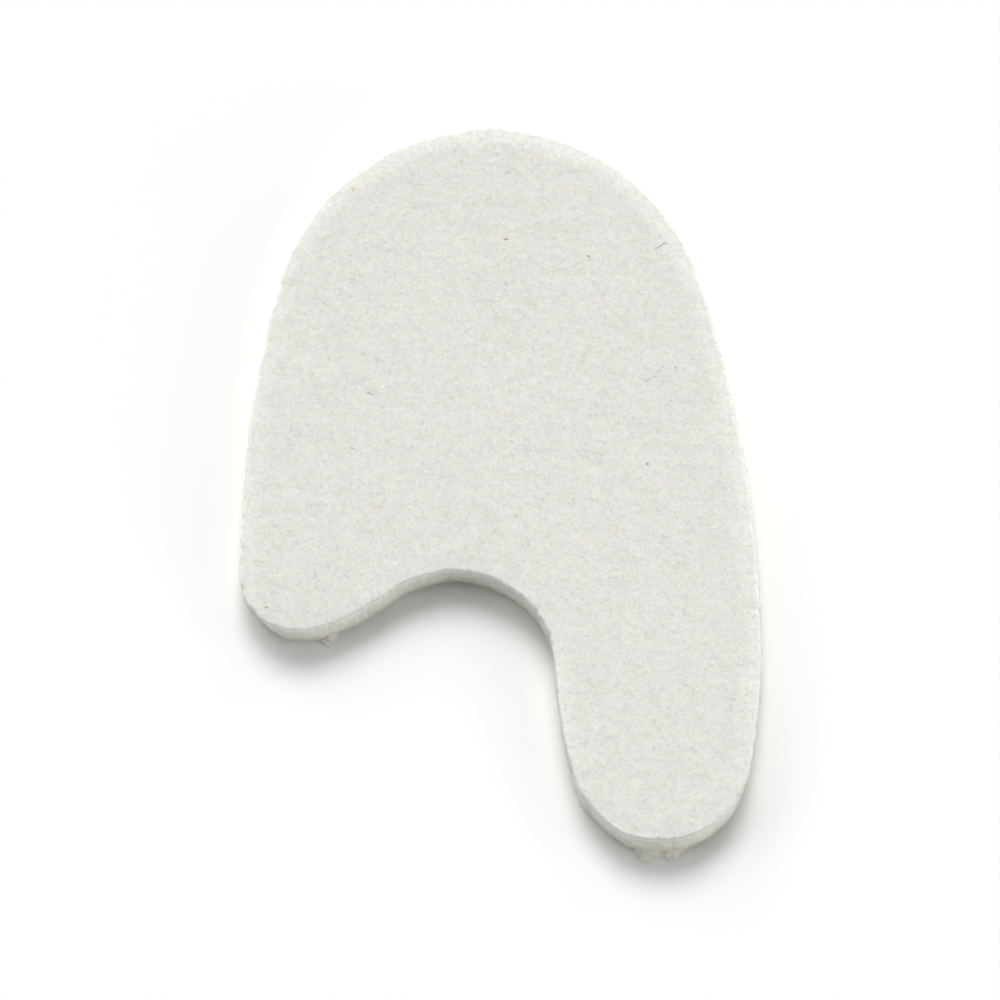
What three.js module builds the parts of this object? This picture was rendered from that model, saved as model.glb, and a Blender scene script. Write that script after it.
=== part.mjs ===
// A felt pad for the ball of the foot, cut out round the joint of a toe.
//
// The pad is one die-cut piece of needled felt, and a thin film of adhesive covers its
// underside. Its outline is a wide round dome, a short lobe at the lower left, a rounded
// cut-out, and a long leg at the lower right.
//
// Millimetres. +Z is up, +Y runs to the dome and -Y to the tip of the leg. The pad lies on
// the plane z = 0, and the middle of its box is over the origin.

import * as THREE from "three";

// Overall sizes, measured at the underside, without the torn flaps

const PAD_LENGTH = 82.2;
const PAD_WIDTH = 58;
const FELT_THICKNESS = 4.45;
const BACKING_THICKNESS = 0.25;
const BOND_GAP = 0.05; // between the felt and its backing

// Radii of the outline, at the underside

const DOME_RADIUS = 24.4;
const LOBE_RADIUS = 6.9;
const NOTCH_RADIUS = 11.2;
const LEG_END_RADIUS = 9.9;
const HIP_RADIUS = 49;

// Radii of the bowed runs between the round corners

const LEFT_SIDE_BOW = 153;
const LOBE_SLOPE_BOW = 28.5;
const LEG_INSIDE_BOW = 57;
const LEG_OUTSIDE_BOW = 115;
const RIGHT_SIDE_BOW = 142;

// Places of the round corners

const DOME_FROM_LEFT = 27.55; // the dome's centre, from the left side
const LOBE_FROM_TIP = 30.45; // the lobe's centre, up from the tip of the leg
const NOTCH_FROM_LEFT = 23.85; // the cut-out's centre, from the left side
const NOTCH_ROOF_FROM_TIP = 30.3; // the top of the cut-out, up from the tip of the leg
const LEG_FROM_RIGHT = 11.2; // the centre of the leg's end, from the right side
const HIP_FROM_TIP = 24; // the widest place of the right side, up from the tip of the leg

// Section of the felt at its edge

const WALL_FLARE = 0.1; // how far the foot of the wall stands outside its top
const RIM_RADIUS = 0.5; // rounding of the upper edge
const EDGE_DROP = 0.18; // how much lower the upper face lies at its rim
const EDGE_BAND = 2.4; // width of the strip in which it comes down

// Flaps of torn adhesive film at the lower edge. Across is a share of half the width, to
// the right of the middle. Width and reach are in millimetres.

const FLAPS = [
  { name: "lobe flap", across: -0.66, width: 2.8, reach: 1.3 },
  { name: "left prong on the leg", across: 0.56, width: 3.4, reach: 1.5 },
  { name: "right prong on the leg", across: 0.67, width: 3.2, reach: 1.4 },
];

// Fineness of the facets

const FELT_STEP = { turn: 7, length: 4.5 }; // degrees, millimetres
const BACKING_STEP = { turn: 4, length: 1.2 };
const RIM_STEPS = 3;
const BAND_STEPS = 3;

const FELT_COLOR = 0xe1e2db;
const BACKING_COLOR = 0xbdbbaf;

// Round corners of the outline, in order from the dome round by the left. A bulge of 1 is
// solid inside the circle, and of -1 is cut out by it. Each bow leads to the next corner.

function corners() {
  const left = -PAD_WIDTH / 2;
  const right = PAD_WIDTH / 2;
  const tip = -PAD_LENGTH / 2;
  const top = PAD_LENGTH / 2;
  return [
    { x: left + DOME_FROM_LEFT, y: top - DOME_RADIUS, radius: DOME_RADIUS, bulge: 1, bow: LEFT_SIDE_BOW },
    { x: left + LOBE_RADIUS, y: tip + LOBE_FROM_TIP, radius: LOBE_RADIUS, bulge: 1, bow: LOBE_SLOPE_BOW },
    {
      x: left + NOTCH_FROM_LEFT,
      y: tip + NOTCH_ROOF_FROM_TIP - NOTCH_RADIUS,
      radius: NOTCH_RADIUS,
      bulge: -1,
      bow: LEG_INSIDE_BOW,
    },
    {
      x: right - LEG_FROM_RIGHT,
      y: tip + LEG_END_RADIUS,
      radius: LEG_END_RADIUS,
      bulge: 1,
      bow: LEG_OUTSIDE_BOW,
    },
    { x: right - HIP_RADIUS, y: tip + HIP_FROM_TIP, radius: HIP_RADIUS, bulge: 1, bow: RIGHT_SIDE_BOW },
  ];
}

// The centre of a bow that touches two corners from the left of the way between them. It
// lies at bow - r from each centre, where r is the corner's radius times its bulge.

function bowCentre(from, to) {
  const reachFrom = from.bow - from.radius * from.bulge;
  const reachTo = from.bow - to.radius * to.bulge;
  const start = new THREE.Vector2(from.x, from.y);
  const way = new THREE.Vector2(to.x, to.y).sub(start);
  const distance = way.length();
  way.normalize();
  const along = (reachFrom ** 2 - reachTo ** 2 + distance ** 2) / (2 * distance);
  const aside = Math.sqrt(reachFrom ** 2 - along ** 2);
  const left = new THREE.Vector2(-way.y, way.x);
  return start.addScaledVector(way, along).addScaledVector(left, aside);
}

// The shortest turn between two directions, in radians, with its sign.

function turnBetween(from, to) {
  const turn = to - from;
  return Math.atan2(Math.sin(turn), Math.cos(turn));
}

// Points along one arc, each with its outward normal. The last point belongs to the next
// arc and is left out.

function arcPoints(centre, radius, startAngle, turn, step) {
  const byTurn = Math.abs(THREE.MathUtils.radToDeg(turn)) / step.turn;
  const byLength = Math.abs(turn * radius) / step.length;
  const count = Math.max(1, Math.ceil(Math.max(byTurn, byLength)));
  const points = [];
  for (let i = 0; i < count; i++) {
    const angle = startAngle + (turn * i) / count;
    const normal = new THREE.Vector2(Math.cos(angle), Math.sin(angle));
    const place = normal.clone().multiplyScalar(radius).add(centre);
    points.push({ place, normal });
  }
  return points;
}

// The outline at the underside, anticlockwise, as arcs that run into each other smoothly.

function outline(step) {
  const posts = corners();
  const runs = posts.map((post, i) => {
    const next = posts[(i + 1) % posts.length];
    const centre = bowCentre(post, next);
    const startAngle = Math.atan2(post.y - centre.y, post.x - centre.x);
    const endAngle = Math.atan2(next.y - centre.y, next.x - centre.x);
    return { centre, radius: post.bow, startAngle, endAngle };
  });
  return posts.flatMap((post, i) => {
    const before = runs[(i + posts.length - 1) % posts.length];
    const after = runs[i];
    const centre = new THREE.Vector2(post.x, post.y);
    const postTurn = turnBetween(before.endAngle, after.startAngle);
    const runTurn = turnBetween(after.startAngle, after.endAngle);
    return [
      ...arcPoints(centre, post.radius * post.bulge, before.endAngle, postTurn, step),
      ...arcPoints(after.centre, after.radius, after.startAngle, runTurn, step),
    ];
  });
}

// One closed ring of 3-D points: the outline drawn in by an inset, at one height.

function ring(line, inset, height) {
  return line.map(({ place, normal }) => {
    const moved = place.clone().addScaledVector(normal, -inset);
    return new THREE.Vector3(moved.x, moved.y, height);
  });
}

// A closed solid through rings of equally many points, from the lowest to the highest,
// with a flat face across the first and the last.

function solidFromRings(rings) {
  const count = rings[0].length;
  const positions = rings.flat().flatMap((point) => point.toArray());
  const faces = [];
  for (let level = 0; level + 1 < rings.length; level++) {
    for (let i = 0; i < count; i++) {
      const low = level * count + i;
      const lowNext = level * count + ((i + 1) % count);
      faces.push(low, lowNext, lowNext + count, low, lowNext + count, low + count);
    }
  }
  const topStart = (rings.length - 1) * count;
  for (const [a, b, c] of flatFaces(rings[0])) {
    faces.push(a, c, b);
  }
  for (const [a, b, c] of flatFaces(rings.at(-1))) {
    faces.push(topStart + a, topStart + b, topStart + c);
  }
  const geometry = new THREE.BufferGeometry();
  geometry.setAttribute("position", new THREE.Float32BufferAttribute(positions, 3));
  geometry.setIndex(faces);
  geometry.computeVertexNormals();
  return geometry;
}

// Triangles across a ring, anticlockwise from above.

function flatFaces(points) {
  const contour = points.map((point) => new THREE.Vector2(point.x, point.y));
  return THREE.ShapeUtils.triangulateShape(contour, []);
}

// Section of the felt's edge from its foot to the flat of its upper face: a leaning wall,
// a rounded rim, and a strip where the face still rises.

function feltSection(bottom) {
  const top = bottom + FELT_THICKNESS;
  const rimTop = top - EDGE_DROP;
  const section = [{ inset: 0, height: bottom }];
  for (let i = 0; i <= RIM_STEPS; i++) {
    const angle = (Math.PI / 2) * (i / RIM_STEPS);
    section.push({
      inset: WALL_FLARE + RIM_RADIUS * (1 - Math.cos(angle)),
      height: rimTop - RIM_RADIUS * (1 - Math.sin(angle)),
    });
  }
  for (let i = 1; i <= BAND_STEPS; i++) {
    const share = i / BAND_STEPS;
    section.push({
      inset: WALL_FLARE + RIM_RADIUS + EDGE_BAND * share,
      height: rimTop + EDGE_DROP * (1 - (1 - share) ** 2),
    });
  }
  return section;
}

function feltPad() {
  const line = outline(FELT_STEP);
  const section = feltSection(BACKING_THICKNESS + BOND_GAP);
  const geometry = solidFromRings(section.map(({ inset, height }) => ring(line, inset, height)));
  const material = new THREE.MeshStandardMaterial({ color: FELT_COLOR, roughness: 1, metalness: 0 });
  const mesh = new THREE.Mesh(geometry, material);
  mesh.name = "felt_pad";
  return mesh;
}

// How far the torn film stands out past the outline at one of its points. Flaps hang only
// from stretches that face the tip of the leg.

function flapReach(place, normal) {
  const facing = Math.max(0, -normal.y);
  let reach = 0;
  for (const flap of FLAPS) {
    const from = (place.x - (flap.across * PAD_WIDTH) / 2) / (flap.width / 2);
    if (Math.abs(from) < 1) {
      reach = Math.max(reach, flap.reach * (1 - from ** 2));
    }
  }
  return reach * facing;
}

function adhesiveBacking() {
  const line = outline(BACKING_STEP).map(({ place, normal }) => ({
    place: place.clone().addScaledVector(normal, flapReach(place, normal)),
    normal,
  }));
  const geometry = solidFromRings([ring(line, 0, 0), ring(line, 0, BACKING_THICKNESS)]);
  const material = new THREE.MeshStandardMaterial({ color: BACKING_COLOR, roughness: 0.6, metalness: 0 });
  const mesh = new THREE.Mesh(geometry, material);
  mesh.name = "adhesive_backing";
  return mesh;
}

const pad = new THREE.Group();
pad.add(adhesiveBacking());
pad.add(feltPad());

const box = new THREE.Box3().setFromObject(pad);
const middle = box.getCenter(new THREE.Vector3());
pad.position.set(-middle.x, -middle.y, -box.min.z);

export default pad;
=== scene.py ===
"""Dresses the felt toe separator pad and lights it for one photograph-like view.

The pad is one die-cut piece of off-white needled felt on a thin film of adhesive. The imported
frame gives its box. Everything here is worked out in millimetres and written in metres, in
the frame's axes: +Z up, +Y to the round dome, -Y to the tip of the long leg.
"""

import logging
import math
from dataclasses import dataclass
from enum import Enum
from typing import Any

import bpy
import numpy as np
from bpy.types import Material, Node, NodeSocket, NodeTree, Object
from mathutils import Matrix, Vector, geometry
from mathutils.kdtree import KDTree


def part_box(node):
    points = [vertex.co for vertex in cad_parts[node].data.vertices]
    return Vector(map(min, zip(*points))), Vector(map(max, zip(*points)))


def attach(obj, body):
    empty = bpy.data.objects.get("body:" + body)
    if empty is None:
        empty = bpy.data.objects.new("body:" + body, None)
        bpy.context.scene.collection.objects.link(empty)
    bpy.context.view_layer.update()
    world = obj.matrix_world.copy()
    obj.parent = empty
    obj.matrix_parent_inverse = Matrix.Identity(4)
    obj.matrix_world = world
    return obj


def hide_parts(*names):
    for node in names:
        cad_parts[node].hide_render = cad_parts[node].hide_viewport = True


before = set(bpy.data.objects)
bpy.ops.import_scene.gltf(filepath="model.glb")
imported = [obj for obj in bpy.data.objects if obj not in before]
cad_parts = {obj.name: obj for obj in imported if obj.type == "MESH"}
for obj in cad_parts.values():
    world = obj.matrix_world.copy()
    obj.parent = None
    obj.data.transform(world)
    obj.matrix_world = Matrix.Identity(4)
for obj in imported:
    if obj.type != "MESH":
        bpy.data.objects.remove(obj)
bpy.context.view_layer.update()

log = logging.getLogger("pad")
MM = 0.001
BAND_SCALE = math.tau / 20  # at this scale the bands of a wave texture are 1 apart
FELT_NODE = "felt_pad"
FILM_NODE = "adhesive_backing"
Array = np.ndarray
Pixels = tuple[tuple[float, float], ...]


def linear(hex_colour: str) -> tuple[float, float, float, float]:
    """Turns an sRGB hex colour into linear light.

    Args:
        hex_colour: six hex digits, such as "e1e2db".

    Returns:
        Red, green, blue and an alpha of 1.
    """
    parts = [int(hex_colour[i:i + 2], 16) / 255 for i in (0, 2, 4)]
    red, green, blue = (p / 12.92 if p <= 0.04045 else ((p + 0.055) / 1.055) ** 2.4 for p in parts)
    return red, green, blue, 1.0


def add_node(tree: NodeTree, kind: str, inputs: dict[Any, Any] | None = None,
             **settings: Any) -> Node:
    """Adds one node with its settings and links.

    Args:
        tree: the node tree that gets it.
        kind: Blender's name of the node's type.
        inputs: for each input, by name or number, its value, the socket that feeds it, or a
            node whose first output in use feeds it.
        settings: the node's own properties.

    Returns:
        The new node.
    """
    made = tree.nodes.new(kind)
    for name, value in settings.items():
        setattr(made, name, value)
    for name, value in (inputs or {}).items():
        if isinstance(value, Node):
            value = next(socket for socket in value.outputs if socket.enabled)
        if isinstance(value, NodeSocket):
            tree.links.new(value, made.inputs[name])
        else:
            made.inputs[name].default_value = value
    return made


# Smooth random relief


@dataclass(frozen=True)
class Layer:
    """One layer of relief: its height, the size of its bumps and how far it is shifted."""

    height: float
    size: float
    shift: float = 0.0


class Relief:
    """Smooth random heights in space, the same on every run."""

    CELLS = 256
    SPREAD = 3.6

    def __init__(self, seed: int) -> None:
        """Draws the slopes that the heights are blended from.

        Args:
            seed: sets which heights come out.
        """
        rng = np.random.default_rng(seed)
        self.order = rng.permutation(self.CELLS)
        slopes = rng.normal(size=(self.CELLS, 3))
        self.slopes = slopes / np.linalg.norm(slopes, axis=1, keepdims=True)

    def at(self, points: Array, size: float) -> Array:
        """Gives a height for each point, with a spread of about 1.

        Args:
            points: rows of x, y and z.
            size: the distance from one bump to the next, in the same unit.

        Returns:
            One height for each row.
        """
        scaled = points / size
        cell = np.floor(scaled).astype(int)
        inside = scaled - cell
        ease = inside ** 3 * (inside * (inside * 6 - 15) + 10)
        total = np.zeros(len(points))
        for corner in np.ndindex(2, 2, 2):
            key = np.zeros(len(points), dtype=int)
            for axis in range(3):
                key = self.order[(key + cell[:, axis] + corner[axis]) % self.CELLS]
            away = inside - np.array(corner)
            weight = np.prod(np.where(np.array(corner), ease, 1 - ease), axis=1)
            total += weight * np.sum(self.slopes[key] * away, axis=1)
        return total * self.SPREAD

    def layered(self, points: Array, layers: tuple[Layer, ...]) -> Array:
        """Adds up some layers of relief at each point."""
        return sum(layer.height * self.at(points + layer.shift, layer.size) for layer in layers)


# The pad's outline


@dataclass(frozen=True)
class RoundCorner:
    """One round corner of the outline.

    Its centre is given from the pad's left side and the leg's tip or, below 0, from the right
    side and the dome's top. A bulge of 1 is solid inside the circle, and of -1 is cut out by
    it. The bow is the radius of the run that leads to the next corner.
    """

    name: str
    across: float
    up: float
    radius: float
    bulge: int
    bow: float


@dataclass
class PadOutline:
    """The pad's outline at its underside: five round corners joined by bowed runs.

    The length, the width and the middle come from the frame.
    """

    length: float
    width: float
    middle: Array
    corners: tuple[RoundCorner, ...] = (
        RoundCorner("dome", 27.55, -24.4, 24.4, 1, 153.0),
        RoundCorner("lobe", 6.9, 30.45, 6.9, 1, 28.5),
        RoundCorner("notch", 23.85, 30.3 - 11.2, 11.2, -1, 57.0),  # its roof is at 30.3
        RoundCorner("leg_end", -11.2, 9.9, 9.9, 1, 115.0),
        RoundCorner("hip", -49.0, 24.0, 49.0, 1, 142.0),
    )

    def centre(self, corner: RoundCorner) -> Array:
        """Finds a corner's centre, from the pad's middle."""
        return np.array([corner.across - math.copysign(self.width / 2, corner.across),
                         corner.up - math.copysign(self.length / 2, corner.up)])

    def bow_centre(self, start: RoundCorner, end: RoundCorner) -> Array:
        """Finds the centre of the bow that touches two corners.

        Args:
            start: the corner that the bow leaves.
            end: the corner that it runs to, with the solid on the left of the way there.

        Returns:
            The centre, which lies at the bow less the corner's bulging radius from each.
        """
        reach_start = start.bow - start.radius * start.bulge
        reach_end = start.bow - end.radius * end.bulge
        way = self.centre(end) - self.centre(start)
        distance = float(np.hypot(*way))
        way = way / distance
        along = (reach_start ** 2 - reach_end ** 2 + distance ** 2) / (2 * distance)
        aside = math.sqrt(reach_start ** 2 - along ** 2)
        return self.centre(start) + way * along + np.array([-way[1], way[0]]) * aside

    def line(self, step: float) -> tuple[Array, Array]:
        """Walks round the outline.

        Args:
            step: the longest distance between two points.

        Returns:
            Places and outward normals, one row for each point, anticlockwise.
        """
        runs = []
        for i, corner in enumerate(self.corners):
            after = self.corners[(i + 1) % len(self.corners)]
            middle = self.bow_centre(corner, after)
            first, last = (math.atan2(*(self.centre(end) - middle)[::-1]) for end in (corner, after))
            runs.append((middle, corner.bow, first, last))
        places, normals = [], []
        for i, corner in enumerate(self.corners):
            turned = (self.centre(corner), corner.radius * corner.bulge, runs[i - 1][3], runs[i][2])
            for middle, radius, first, last in (turned, runs[i]):
                turn = math.remainder(last - first, math.tau)
                count = max(1, math.ceil(abs(turn * radius) / step))
                angles = first + turn * np.arange(count) / count
                across = np.stack([np.cos(angles), np.sin(angles)], axis=1)
                places.append(middle + radius * across)
                normals.append(across)
        return np.concatenate(places) + self.middle, np.concatenate(normals)


class EdgeFinder:
    """Tells how far a point lies inside an outline."""

    def __init__(self, places: Array, normals: Array) -> None:
        """Keeps the outline's points in a tree.

        Args:
            places: x and y of the points.
            normals: the outward normal at each.
        """
        self.places, self.normals = places, normals
        self.tree = KDTree(len(places))
        for i, (x, y) in enumerate(places):
            self.tree.insert((x, y, 0), i)
        self.tree.balance()

    def nearest(self, point: Array) -> int:
        """Gives the number of the outline's point next to a place."""
        return self.tree.find((point[0], point[1], 0))[1]

    def depth(self, points: Array) -> Array:
        """Gives each point's distance inside the outline, below 0 outside it."""
        nearest = np.array([self.nearest(point) for point in points])
        return np.sum((self.places[nearest] - points) * self.normals[nearest], axis=1)


# Meshes from rings


def is_inside(ring: Array, points: Array) -> Array:
    """Tells which points lie inside a ring, by the sides that a line to the right crosses.

    Args:
        ring: the ring's x and y.
        points: x and y of the points.

    Returns:
        True for each point inside.
    """
    start, end = ring, np.roll(ring, -1, axis=0)
    x, y = points[:, :1], points[:, 1:]
    spans = (start[:, 1] > y) != (end[:, 1] > y)
    slope = (end[:, 0] - start[:, 0]) / np.where(end[:, 1] == start[:, 1], 1, end[:, 1] - start[:, 1])
    crossed = spans & (x < start[:, 0] + (y - start[:, 1]) * slope)
    return crossed.sum(axis=1) % 2 == 1


def fill_flat(ring: Array, inner: Array | None = None) -> Array:
    """Triangulates the inside of a ring.

    Args:
        ring: the ring's x and y, anticlockwise.
        inner: further points inside it that the triangles meet in.

    Returns:
        Rows of three numbers, anticlockwise, that count the ring's points and then the rest.
    """
    points = ring if inner is None else np.concatenate([ring, inner])
    vectors = [Vector((x, y)) for x, y in points]
    found = geometry.delaunay_2d_cdt(vectors, [], [list(range(len(ring)))], 0, 1e-9, False)
    if len(found[0]) != len(points):
        raise ValueError("the ring crosses itself")
    faces = np.array([face[:] for face in found[2]], dtype=int)
    # The triangles fill the hull, so those in a bay of the ring come out
    doubtful = np.flatnonzero((faces < len(ring)).all(axis=1))
    outside = doubtful[~is_inside(ring, points[faces[doubtful]].mean(axis=1))]
    return np.delete(faces, outside, axis=0)


def split_quads(*corners: Array) -> Array:
    """Cuts quads, given by the numbers of their four corners in turn, into triangles."""
    a, b, c, d = (corner.ravel() for corner in corners)
    return np.concatenate([np.stack([a, b, c], axis=1), np.stack([a, c, d], axis=1)])


def join_rings(count: int, levels: int) -> Array:
    """Lists the triangles between rings of equally many points, numbered from the lowest.

    Args:
        count: the points in a ring.
        levels: the number of rings.

    Returns:
        Rows of three numbers that face outwards from anticlockwise rings.
    """
    low = np.arange(count)
    beside = (low + 1) % count
    return np.concatenate([
        split_quads(low + up, beside + up, beside + up + count, low + up + count)
        for up in range(0, (levels - 1) * count, count)])


class Mark(str, Enum):
    """Numbers that points carry for the finishes."""

    EDGE = "edge_mm"
    CUT = "cut_share"
    # How much painted shade, with the adhesive's yellow, the wall's foot takes
    FOOT = "foot_share"
    # How much painted highlight the upper wall and the rounded rim take
    UPPER_HIGHLIGHT = "frayed_share"
    THICK = "thick_share"


def make_piece(name: str, points: Array, faces: Array, material: Material,
               marks: dict[Mark, Array] | None = None) -> Object:
    """Makes one smooth mesh object in the scene.

    Args:
        name: the piece's name.
        points: x, y and z of each point, in millimetres.
        faces: three numbers for each triangle.
        material: its finish.
        marks: numbers kept on the points for the finish to read.

    Returns:
        The new object, at the origin.
    """
    mesh = bpy.data.meshes.new(name)
    mesh.from_pydata((points * MM).tolist(), [], faces.tolist())
    mesh.shade_smooth()
    for mark, values in (marks or {}).items():
        kept = mesh.attributes.new(mark.value, "FLOAT", "POINT")
        kept.data.foreach_set("value", values.tolist())
    mesh.materials.append(material)
    mesh.update()
    piece = bpy.data.objects.new(name, mesh)
    bpy.context.scene.collection.objects.link(piece)
    return piece


# Finishes


def start_material(name: str) -> tuple[Material, NodeTree, NodeSocket]:
    """Starts a material that reads Object coordinates.

    Args:
        name: the material's name.

    Returns:
        The material, its empty node tree and the socket of the coordinates.
    """
    made = bpy.data.materials.new(name)
    made.use_nodes = True
    made.node_tree.nodes.clear()
    place = add_node(made.node_tree, "ShaderNodeTexCoord").outputs["Object"]
    return made, made.node_tree, place


@dataclass(frozen=True)
class NeedledFelt:
    """Needled wool and polyester felt, die-cut and unpressed.

    It gives the eye a dry, chalky off-white face with a fine sandy speckle, faint rows where
    the needles went in, and a slightly yellow cut wall. The cut wall is painted lighter than the
    face: painted light for the light that glows through the felt at the cut. Each cast is a shift
    in metres and the two colours that fibres stray to: green and pink, then blue and straw. Each
    grain is the size of its spots and how far their tone strays. Each pit is the noise where it
    starts, the noise where it is full, and its depth of tone.
    """

    face: str = "dedfd7"
    # Painted highlight: the face lightens towards this colour in a band inside the rim, for the glow
    # of back-lit fibres at the edge
    rim: str = "efefe8"
    # Painted light: the cut wall is lighter than the face, for the light that glows through the felt
    cut: str = "eae9df"
    # Painted shade with the adhesive's yellow: the wall darkens and yellows towards its foot, where
    # it meets the floor
    foot: str = "cfccb6"
    # Painted highlight on the upper wall and the rounded rim, which light from behind leaves in shade
    upper_wall_highlight: str = "fbfbf6"
    casts: tuple[tuple[float, str, str], ...] = (
        (0.0, "d6e0d0", "e4dbd7"), (0.05, "dbdedb", "dfded3"))
    cast_mm: float = 1.25
    cast_share: float = 0.38
    cast_span: tuple[float, float] = (0.36, 0.64)
    grains: tuple[tuple[float, float], ...] = (
        (0.15, 0.20), (0.32, 0.22), (0.8, 0.17), (2.2, 0.12), (8.0, 0.035))
    pits: tuple[tuple[float, float, float], ...] = ((0.33, 0.22, -0.09), (0.70, 0.80, 0.05))
    pit_mm: float = 0.42
    row_mm: float = 3.0
    row_strength: float = 0.005
    # The width and the strength of the painted highlight inside the rim
    rim_highlight_mm: float = 2.4
    rim_highlight_share: float = 0.4
    bump: float = 0.2
    bump_mm: float = 0.2
    roughness: float = 0.95
    specular: float = 0.2
    sheen: float = 0.12
    sheen_roughness: float = 0.6

    def tone(self, tree: NodeTree, place: NodeSocket) -> Node:
        """Adds the layers of uneven tone, the pits and the needle rows.

        Args:
            tree: the material's nodes.
            place: the coordinates.

        Returns:
            The node of a factor near 1 for the colour.
        """
        swings = []
        for size_mm, strength in self.grains:
            noise = add_node(tree, "ShaderNodeTexNoise", {
                "Vector": place, "Scale": 1 / (size_mm * MM), "Detail": 1.5})
            swings.append((noise.outputs["Fac"], strength))
        rows = add_node(tree, "ShaderNodeTexWave", {
            "Vector": place, "Scale": BAND_SCALE / (self.row_mm * MM), "Distortion": 2.5,
            "Detail": 2.0, "Detail Scale": 1.5}, bands_direction="Y")
        swings.append((rows.outputs["Fac"], self.row_strength))
        layers = []
        for swing, strength in swings:
            off = add_node(tree, "ShaderNodeMath", {0: swing, 1: 0.5}, operation="SUBTRACT")
            layers.append((off, strength))
        pit = add_node(tree, "ShaderNodeTexNoise", {
            "Vector": place, "Scale": 1 / (self.pit_mm * MM), "Detail": 0.0})
        for low, high, depth in self.pits:
            spot = add_node(tree, "ShaderNodeMapRange", {
                "Value": pit, "From Min": low, "From Max": high})
            layers.append((spot, depth))
        total: Any = 1.0
        for layer, strength in layers:
            total = add_node(tree, "ShaderNodeMath", {0: layer, 1: strength, 2: total},
                             operation="MULTIPLY_ADD")
        return total

    def cast(self, tree: NodeTree, place: NodeSocket) -> Node:
        """Adds the faint casts of colour in the fibres.

        Args:
            tree: the material's nodes.
            place: the coordinates.

        Returns:
            The node of the cast colour.
        """
        found: Any = linear(self.face)
        for shift, *strayed in self.casts:
            moved = add_node(tree, "ShaderNodeVectorMath", {0: place, 1: (shift, 0, 0)},
                             operation="ADD")
            noise = add_node(tree, "ShaderNodeTexNoise", {
                "Vector": moved, "Scale": 1 / (self.cast_mm * MM), "Detail": 3.0})
            ramp = add_node(tree, "ShaderNodeValToRGB", {"Fac": noise})
            for stop, at, colour in zip(ramp.color_ramp.elements, self.cast_span, strayed):
                stop.position = at
                stop.color = linear(colour)
            found = add_node(tree, "ShaderNodeMix", {0: self.cast_share, 6: found, 7: ramp},
                             data_type="RGBA")
        return found

    def material(self) -> Material:
        """Builds the felt's nodes.

        Returns:
            The material, which reads Object coordinates and the felt's marks.
        """
        made, tree, place = start_material("needled_felt")
        edge = add_node(tree, "ShaderNodeAttribute", attribute_name=Mark.EDGE.value)
        # Painted highlight: the face gets lighter towards the rim
        rim_highlight = add_node(tree, "ShaderNodeMapRange", {
            "Value": edge.outputs["Fac"], "From Min": 0.0, "From Max": self.rim_highlight_mm,
            "To Min": self.rim_highlight_share, "To Max": 0.0}, interpolation_type="SMOOTHSTEP")
        parts = [(rim_highlight, self.rim)]
        # Mixed in by their shares: the cut wall painted lighter, painted shade with the adhesive's
        # yellow at the foot, and a painted highlight on the upper wall and rounded rim
        for mark, colour in ((Mark.CUT, self.cut), (Mark.FOOT, self.foot), (Mark.UPPER_HIGHLIGHT, self.upper_wall_highlight)):
            share = add_node(tree, "ShaderNodeAttribute", attribute_name=mark.value)
            parts.append((share.outputs["Fac"], colour))
        mixed = self.cast(tree, place)
        for share, colour in parts:
            mixed = add_node(tree, "ShaderNodeMix", {0: share, 6: mixed, 7: linear(colour)},
                             data_type="RGBA")
        tone = self.tone(tree, place)
        shaded = add_node(tree, "ShaderNodeVectorMath", {0: mixed, "Scale": tone}, operation="SCALE")
        bump = add_node(tree, "ShaderNodeBump", {
            "Strength": self.bump, "Distance": self.bump_mm * MM, "Height": tone})
        shader = add_node(tree, "ShaderNodeBsdfPrincipled", {
            "Base Color": shaded, "Roughness": self.roughness,
            "Specular IOR Level": self.specular, "Sheen Weight": self.sheen,
            "Sheen Roughness": self.sheen_roughness, "Normal": bump})
        add_node(tree, "ShaderNodeOutputMaterial", {"Surface": shader})
        return made


@dataclass(frozen=True)
class AdhesiveCream:
    """Acrylic adhesive cast on a carrier film, cut with the felt and torn at the edge.

    It gives the eye a cream, slightly waxy edge with yellower patches where it is thick.
    """

    thin: str = "f6f5ea"
    thick: str = "ebe8ca"
    span: tuple[float, float] = (0.58, 0.75)
    patch_mm: float = 1.6
    streak: float = 0.25
    bump: float = 0.4
    bump_mm: float = 0.05
    roughness: float = 0.5

    def material(self) -> Material:
        """Builds the film's nodes.

        Returns:
            The material, which reads Object coordinates and the film's marks.
        """
        made, tree, place = start_material("acrylic_adhesive_film")
        patch = add_node(tree, "ShaderNodeTexNoise", {
            "Vector": place, "Scale": 1 / (self.patch_mm * MM), "Detail": 3.0})
        thick = add_node(tree, "ShaderNodeAttribute", attribute_name=Mark.THICK.value)
        depth = add_node(tree, "ShaderNodeMath", {
            0: thick.outputs["Fac"], 1: self.streak, 2: patch}, operation="MULTIPLY_ADD")
        ramp = add_node(tree, "ShaderNodeValToRGB", {"Fac": depth})
        for stop, at, colour in zip(ramp.color_ramp.elements, self.span, (self.thin, self.thick)):
            stop.position = at
            stop.color = linear(colour)
        bump = add_node(tree, "ShaderNodeBump", {
            "Strength": self.bump, "Distance": self.bump_mm * MM, "Height": patch})
        shader = add_node(tree, "ShaderNodeBsdfPrincipled", {
            "Base Color": ramp, "Roughness": self.roughness, "Normal": bump})
        add_node(tree, "ShaderNodeOutputMaterial", {"Surface": shader})
        return made


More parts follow.
